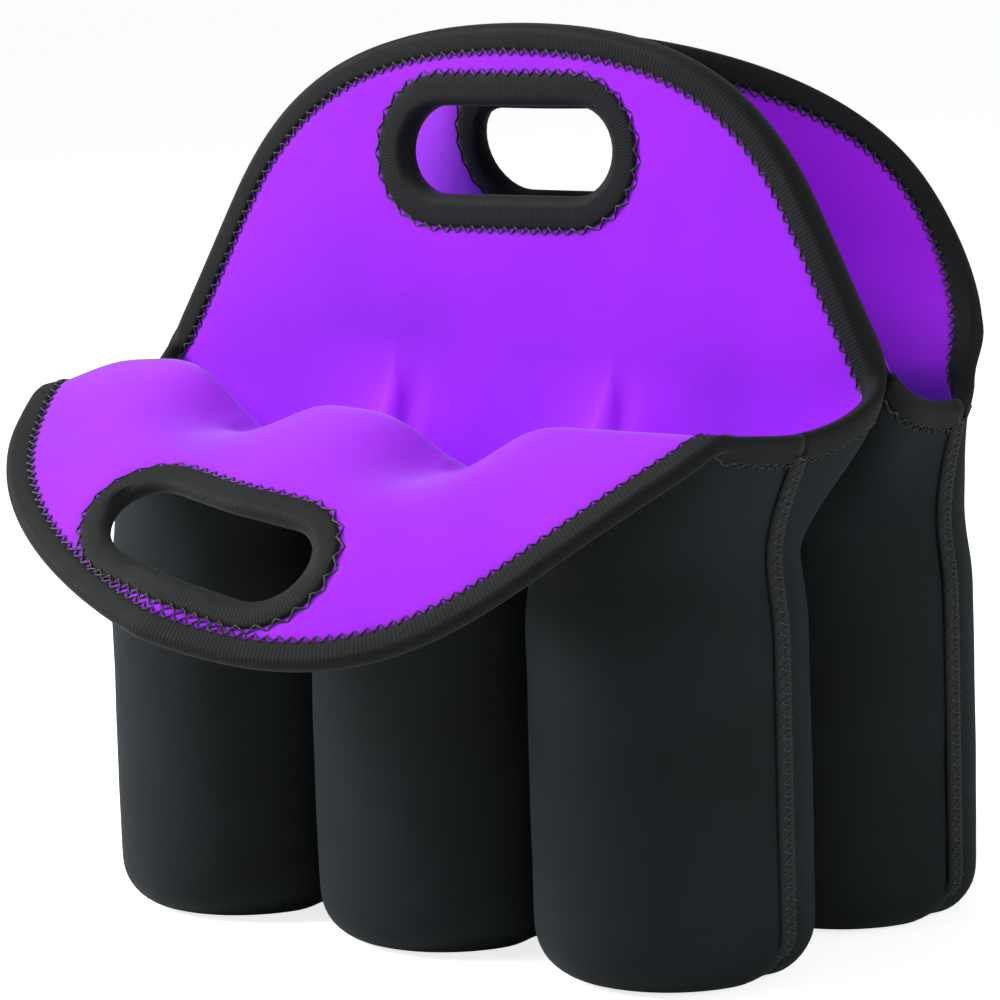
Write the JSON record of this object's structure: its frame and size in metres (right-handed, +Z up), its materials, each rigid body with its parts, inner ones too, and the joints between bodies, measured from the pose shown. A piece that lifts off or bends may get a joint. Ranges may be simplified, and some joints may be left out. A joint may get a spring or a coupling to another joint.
{
  "type": "six pack carrier",
  "caption": "Soft padded carrier with rows of round-bottomed bottle pockets and arched panels with handle holes that fold together over them.",
  "frame": {"origin": "on the ground, under the centre of the whole carrier's box", "axes": "+X to the right along the rows of pockets, +Y from the folded-down front flap to the back, +Z up"},
  "size_m": [0.2532, 0.2348, 0.2471],
  "materials": {
    "black_cloth": "matt knitted face of padded cloth",
    "purple_cloth": "bright knitted face of padded cloth",
    "binding_tape": "matt binding tape and seam thread"
  },
  "bodies": {
    "carrier": {"front_left_pocket": "black_cloth", "front_middle_pocket": "black_cloth", "front_right_pocket": "black_cloth", "rear_left_pocket": "black_cloth", "rear_middle_pocket": "black_cloth", "rear_right_pocket": "black_cloth", "front_left_lining": "purple_cloth", "front_middle_lining": "purple_cloth", "front_right_lining": "purple_cloth", "rear_left_lining": "purple_cloth", "rear_middle_lining": "purple_cloth", "rear_right_lining": "purple_cloth", "front_left_divider": "black_cloth", "front_right_divider": "black_cloth", "rear_left_divider": "black_cloth", "rear_right_divider": "black_cloth", "front_left_side_seam": "binding_tape", "front_right_side_seam": "binding_tape", "rear_left_side_seam": "binding_tape", "rear_right_side_seam": "binding_tape", "centre_web": "black_cloth", "front_collar": "black_cloth", "front_collar_lining": "purple_cloth", "rear_collar": "black_cloth", "rear_collar_lining": "purple_cloth", "front_inner_wall": "black_cloth", "front_inner_wall_lining": "purple_cloth", "rear_inner_wall": "black_cloth", "rear_inner_wall_lining": "purple_cloth", "front_left_rim_tape": "binding_tape", "front_right_rim_tape": "binding_tape", "rear_left_rim_tape": "binding_tape", "rear_right_rim_tape": "binding_tape"},
    "front_flap": {"front_flap": "black_cloth", "front_flap_lining": "purple_cloth", "front_flap_tape": "binding_tape", "front_handle_tape": "binding_tape"},
    "middle_panel": {"middle_panel_front": "purple_cloth", "middle_panel_rear": "purple_cloth", "middle_panel_tape": "binding_tape", "middle_handle_tape": "binding_tape"},
    "back_flap": {"back_flap": "black_cloth", "back_flap_lining": "purple_cloth", "back_flap_tape": "binding_tape", "back_handle_tape": "binding_tape"}
  },
  "joints": [
    {"name": "front_flap_fold", "type": "hinge", "parent": "carrier", "child": "front_flap", "pos_m": [0, -0.02903, 0.149], "axis": [-1, 0, 0], "range_deg": [-20, 145]},
    {"name": "middle_panel_lean", "type": "hinge", "parent": "carrier", "child": "middle_panel", "pos_m": [0, 0.04117, 0.1585], "axis": [1, 0, 0], "range_deg": [-1, 8]},
    {"name": "back_flap_fold", "type": "hinge", "parent": "carrier", "child": "back_flap", "pos_m": [0, 0.11037, 0.1465], "axis": [-1, 0, 0], "range_deg": [0, 145]}
  ]
}
